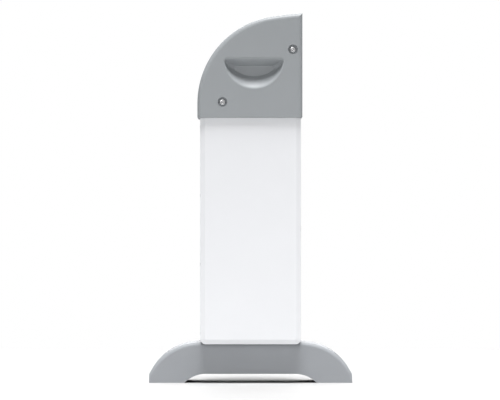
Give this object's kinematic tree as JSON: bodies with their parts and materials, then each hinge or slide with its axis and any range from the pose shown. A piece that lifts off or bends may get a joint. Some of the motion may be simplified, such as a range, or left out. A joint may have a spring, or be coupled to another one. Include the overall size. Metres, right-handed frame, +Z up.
{
  "type": "parking pay station",
  "caption": "Free-standing pay station: quarter-round grey head with hand grips and a front door of payment units, white column with a locked door, grey bridge foot.",
  "frame": {"origin": "middle of the footprint, on the floor", "axes": "+Z up, +X out of the flat front that the user faces, +Y to the user's right"},
  "size_m": [0.688, 0.36, 1.25],
  "materials": {
    "grey_shell": "smooth light grey powder coat",
    "grey_cast": "satin grey paint over a casting",
    "white_panel": "satin white powder coat",
    "steel_frame": "zinc plated",
    "bright_steel": "polished",
    "dark_fascia": "fine textured dark grey",
    "black_plastic": "fine texture",
    "key_steel": "brushed",
    "key_red": "smooth",
    "key_green": "smooth",
    "display_glass": "clear toughened",
    "screen": "dark screen",
    "paper": "thermal paper",
    "vault_steel": "hammered dark grey",
    "box_grey": "fine texture"
  },
  "bodies": {
    "station": {"foot": "grey_cast", "foot_bolts": "bright_steel", "base_plate": "steel_frame", "cable_gland": "black_plastic", "column_frame": "steel_frame", "column_side_left": "white_panel", "column_side_right": "white_panel", "rear_panel": "white_panel", "pivot_brackets": "steel_frame", "pivot_pins": "bright_steel", "lock_strikes": "steel_frame", "coin_vault": "vault_steel", "vault_handle": "bright_steel", "vault_shelf": "steel_frame", "power_supply": "box_grey", "cheek_left": "grey_shell", "cheek_right": "grey_shell", "hood_skin": "grey_shell", "head_sill": "grey_shell", "head_chassis": "steel_frame", "cheek_screws": "bright_steel", "printer": "box_grey", "roll_holder": "steel_frame", "controller_box": "box_grey"},
    "column_door": {"column_door": "white_panel", "column_lock_housing": "bright_steel"},
    "head_door": {"fascia": "dark_fascia", "display_window": "display_glass", "display_module": "screen", "contactless_reader": "black_plastic", "card_slot_bezel": "black_plastic", "card_reader": "box_grey", "keypad_housing": "key_steel", "keypad_board": "black_plastic", "coin_bezel": "bright_steel", "coin_validator": "box_grey", "receipt_cup": "black_plastic", "coin_cup": "black_plastic", "head_lock_housing": "bright_steel"},
    "column_lock": {"column_lock_core": "bright_steel", "column_lock_cam": "steel_frame"},
    "head_lock": {"head_lock_core": "bright_steel", "head_lock_cam": "steel_frame"},
    "help_button": {"help_button": "key_green"},
    "coin_reject_button": {"coin_reject_button": "key_steel"},
    "receipt_flap": {"receipt_flap": "box_grey"},
    "coin_flap": {"coin_flap": "box_grey"},
    "paper_roll": {"paper_roll": "paper"},
    "key_1": {"key_1": "key_steel"},
    "key_2": {"key_2": "key_steel"},
    "key_3": {"key_3": "key_steel"},
    "key_4": {"key_4": "key_steel"},
    "key_5": {"key_5": "key_steel"},
    "key_6": {"key_6": "key_steel"},
    "key_7": {"key_7": "key_steel"},
    "key_8": {"key_8": "key_steel"},
    "key_9": {"key_9": "key_steel"},
    "key_cancel": {"key_cancel": "key_red"},
    "key_0": {"key_0": "key_steel"},
    "key_enter": {"key_enter": "key_green"}
  },
  "joints": [
    {"name": "column_door_hinge", "type": "hinge", "parent": "station", "child": "column_door", "pos_m": [0.162, -0.1305, 0.5], "axis": [0, 0, -1], "range_deg": [0, 90]},
    {"name": "head_door_hinge", "type": "hinge", "parent": "station", "child": "head_door", "pos_m": [0.155, -0.1405, 1.07], "axis": [0, 0, -1], "range_deg": [0, 90]},
    {"name": "column_lock_turn", "type": "hinge", "parent": "column_door", "child": "column_lock", "pos_m": [0.155, 0.092, 0.52], "axis": [1, 0, 0], "range_deg": [0, 90]},
    {"name": "head_lock_turn", "type": "hinge", "parent": "head_door", "child": "head_lock", "pos_m": [0.148, 0.112, 1.076], "axis": [1, 0, 0], "range_deg": [0, 90]},
    {"name": "help_press", "type": "slide", "parent": "head_door", "child": "help_button", "axis": [-1, 0, 0], "range_m": [0, 0.003], "stiffness_N_per_m": 300},
    {"name": "coin_reject_press", "type": "slide", "parent": "head_door", "child": "coin_reject_button", "axis": [-1, 0, 0], "range_m": [0, 0.003], "stiffness_N_per_m": 300},
    {"name": "receipt_flap_swing", "type": "hinge", "parent": "head_door", "child": "receipt_flap", "pos_m": [0.158, -0.054, 0.9625], "axis": [0, 1, 0], "range_deg": [0, 60]},
    {"name": "coin_flap_swing", "type": "hinge", "parent": "head_door", "child": "coin_flap", "pos_m": [0.158, 0.082, 0.9625], "axis": [0, 1, 0], "range_deg": [0, 60]},
    {"name": "paper_roll_spin", "type": "hinge", "parent": "station", "child": "paper_roll", "pos_m": [-0.04, -0.054, 1.06], "axis": [0, 1, 0], "continuous": true},
    {"name": "key_1_press", "type": "slide", "parent": "head_door", "child": "key_1", "axis": [-1, 0, 0], "range_m": [0, 0.0015], "stiffness_N_per_m": 300},
    {"name": "key_2_press", "type": "slide", "parent": "head_door", "child": "key_2", "axis": [-1, 0, 0], "range_m": [0, 0.0015], "stiffness_N_per_m": 300},
    {"name": "key_3_press", "type": "slide", "parent": "head_door", "child": "key_3", "axis": [-1, 0, 0], "range_m": [0, 0.0015], "stiffness_N_per_m": 300},
    {"name": "key_4_press", "type": "slide", "parent": "head_door", "child": "key_4", "axis": [-1, 0, 0], "range_m": [0, 0.0015], "stiffness_N_per_m": 300},
    {"name": "key_5_press", "type": "slide", "parent": "head_door", "child": "key_5", "axis": [-1, 0, 0], "range_m": [0, 0.0015], "stiffness_N_per_m": 300},
    {"name": "key_6_press", "type": "slide", "parent": "head_door", "child": "key_6", "axis": [-1, 0, 0], "range_m": [0, 0.0015], "stiffness_N_per_m": 300},
    {"name": "key_7_press", "type": "slide", "parent": "head_door", "child": "key_7", "axis": [-1, 0, 0], "range_m": [0, 0.0015], "stiffness_N_per_m": 300},
    {"name": "key_8_press", "type": "slide", "parent": "head_door", "child": "key_8", "axis": [-1, 0, 0], "range_m": [0, 0.0015], "stiffness_N_per_m": 300},
    {"name": "key_9_press", "type": "slide", "parent": "head_door", "child": "key_9", "axis": [-1, 0, 0], "range_m": [0, 0.0015], "stiffness_N_per_m": 300},
    {"name": "key_cancel_press", "type": "slide", "parent": "head_door", "child": "key_cancel", "axis": [-1, 0, 0], "range_m": [0, 0.0015], "stiffness_N_per_m": 300},
    {"name": "key_0_press", "type": "slide", "parent": "head_door", "child": "key_0", "axis": [-1, 0, 0], "range_m": [0, 0.0015], "stiffness_N_per_m": 300},
    {"name": "key_enter_press", "type": "slide", "parent": "head_door", "child": "key_enter", "axis": [-1, 0, 0], "range_m": [0, 0.0015], "stiffness_N_per_m": 300}
  ]
}
